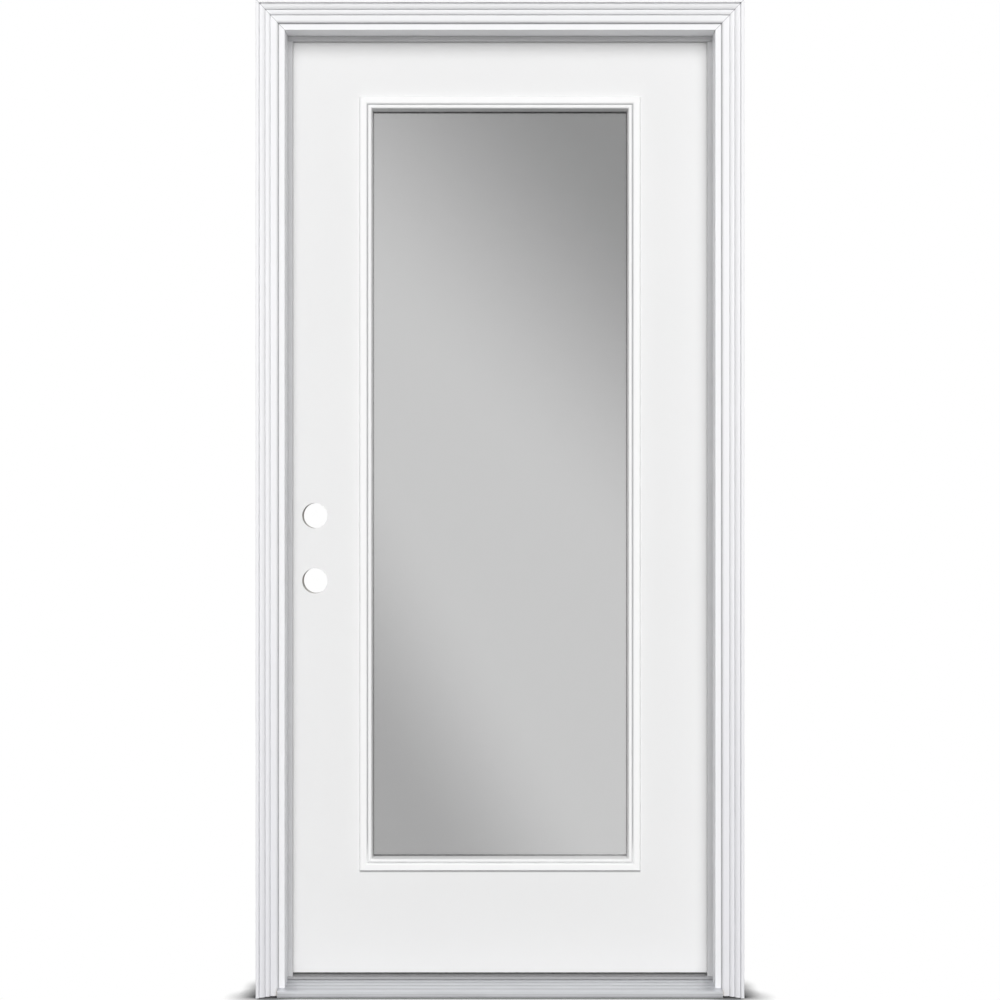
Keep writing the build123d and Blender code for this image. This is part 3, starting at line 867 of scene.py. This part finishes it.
def seen_directly(finish):
    """1 for what the camera, a reflection or a look through glass sees, 0 for bounced light."""
    path = finish.node("ShaderNodeLightPath", output="Is Camera Ray")
    outputs = path.socket.node.outputs
    mirrored = Wire(finish, outputs["Is Glossy Ray"])
    through = Wire(finish, outputs["Is Transmission Ray"])
    return finish.maths("MAXIMUM", finish.maths("MAXIMUM", path, mirrored), through)


def soft_lamp(name, strength, azimuth, elevation, spread):
    """Distant lamp with soft shadows; azimuth is to the right of the camera, in degrees."""
    lamp = bpy.data.lights.new(name, "SUN")
    lamp.energy = strength
    lamp.angle = math.radians(spread)
    side, up = math.radians(azimuth), math.radians(elevation)
    towards = Vector((math.sin(side) * math.cos(up), -math.cos(side) * math.cos(up), math.sin(up)))
    item = bpy.data.objects.new(name, lamp)
    # Its wide disc would draw a false horizon in the glass
    item.visible_glossy = False
    item.location = towards * LAMP_REACH
    item.rotation_euler = towards.to_track_quat("Z", "Y").to_euler()
    bpy.context.scene.collection.objects.link(item)


class FRONTDOOR_OT_set_studio(Operator):
    """Lay the floor, hang the lamps and place the camera"""

    bl_idname = "front_door.set_studio"
    bl_label = "Set Studio"

    def execute(self, context):
        studio = context.scene.front_door_studio
        scene = context.scene
        scene.view_settings.view_transform = "Standard"

        finish = new_finish("studio_floor")
        reach = {"Distance": CONTACT_REACH}
        openness = finish.node("ShaderNodeAmbientOcclusion", {"samples": 16}, reach, "AO")
        pale = finish.mix(openness ** 5, CONTACT_GREY, (1, 1, 1, 1))
        glow = finish.node("ShaderNodeEmission", sockets={"Color": pale, "Strength": 1.0})
        matte = finish.node("ShaderNodeBsdfDiffuse", sockets={"Color": FLOOR_MATTE})
        shares = {0: seen_directly(finish), 1: matte, 2: glow}
        finish.end(finish.node("ShaderNodeMixShader", sockets=shares))

        bm = bmesh.new()
        bmesh.ops.create_grid(bm, x_segments=1, y_segments=1, size=FLOOR_HALF)
        mesh = bpy.data.meshes.new("studio_floor")
        bm.to_mesh(mesh)
        bm.free()
        mesh.materials.append(finish.owner)
        floor = bpy.data.objects.new("studio_floor", mesh)
        scene.collection.objects.link(floor)

        scene.world = bpy.data.worlds.new("studio")
        air = Finish(scene.world)
        room, white = [
            air.node("ShaderNodeBackground", sockets={"Color": (1, 1, 1, 1), "Strength": strength})
            for strength in (studio.ambient, 1.0)
        ]
        sky = air.node("ShaderNodeMixShader", sockets={0: seen_directly(air), 1: room, 2: white})
        air.end(sky, "ShaderNodeOutputWorld")

        soft_lamp("key", studio.key_strength, azimuth=4, elevation=15, spread=45)
        soft_lamp("fill", studio.fill_strength, azimuth=-40, elevation=12, spread=50)
        soft_lamp("back", studio.back_strength, azimuth=182, elevation=28, spread=60)

        camera = bpy.data.objects.new("camera", bpy.data.cameras.new("camera"))
        camera.data.lens = studio.lens
        camera.data.sensor_width = 36
        camera.location = (studio.eye_shift, -studio.camera_distance, studio.eye_height)
        camera.rotation_euler = (math.radians(90), 0, 0)
        scene.collection.objects.link(camera)
        scene.camera = camera
        return {"FINISHED"}


class FRONTDOOR_PT_steps(Panel):
    """Steps that finish the front door, in order"""

    bl_idname = "FRONTDOOR_PT_steps"
    bl_label = "Front Door"
    bl_space_type = "VIEW_3D"
    bl_region_type = "UI"
    bl_category = "Front Door"

    def draw(self, context):
        for step in STEPS:
            self.layout.operator(step.bl_idname)
        for group in (context.scene.front_door_finishes, context.scene.front_door_hardware,
                      context.scene.front_door_studio):
            box = self.layout.box()
            for name in group.__annotations__:
                box.prop(group, name)


STEPS = (
    FRONTDOOR_OT_paint_frame,
    FRONTDOOR_OT_finish_sill,
    FRONTDOOR_OT_fit_seals,
    FRONTDOOR_OT_paint_leaf,
    FRONTDOOR_OT_finish_core,
    FRONTDOOR_OT_glaze_light,
    FRONTDOOR_OT_finish_hinges,
    FRONTDOOR_OT_plug_light_frame,
    FRONTDOOR_OT_fit_cap_screws,
    FRONTDOOR_OT_set_studio,
)
GROUPS = {
    "front_door_finishes": FrontDoorFinishes,
    "front_door_hardware": FrontDoorHardware,
    "front_door_studio": FrontDoorStudio,
}


def register():
    for name, group in GROUPS.items():
        bpy.utils.register_class(group)
        setattr(bpy.types.Scene, name, PointerProperty(type=group))
    for kind in (*STEPS, FRONTDOOR_PT_steps):
        bpy.utils.register_class(kind)


def unregister():
    for kind in (FRONTDOOR_PT_steps, *reversed(STEPS)):
        bpy.utils.unregister_class(kind)
    for name, group in GROUPS.items():
        delattr(bpy.types.Scene, name)
        bpy.utils.unregister_class(group)


def main():
    register()
    bpy.ops.front_door.paint_frame()
    bpy.ops.front_door.finish_sill()
    bpy.ops.front_door.fit_seals()
    bpy.ops.front_door.paint_leaf()
    bpy.ops.front_door.finish_core()
    bpy.ops.front_door.glaze_light()
    bpy.ops.front_door.finish_hinges()
    bpy.ops.front_door.plug_light_frame()
    bpy.ops.front_door.fit_cap_screws()
    bpy.ops.front_door.set_studio()


if __name__ == "__main__":
    main()
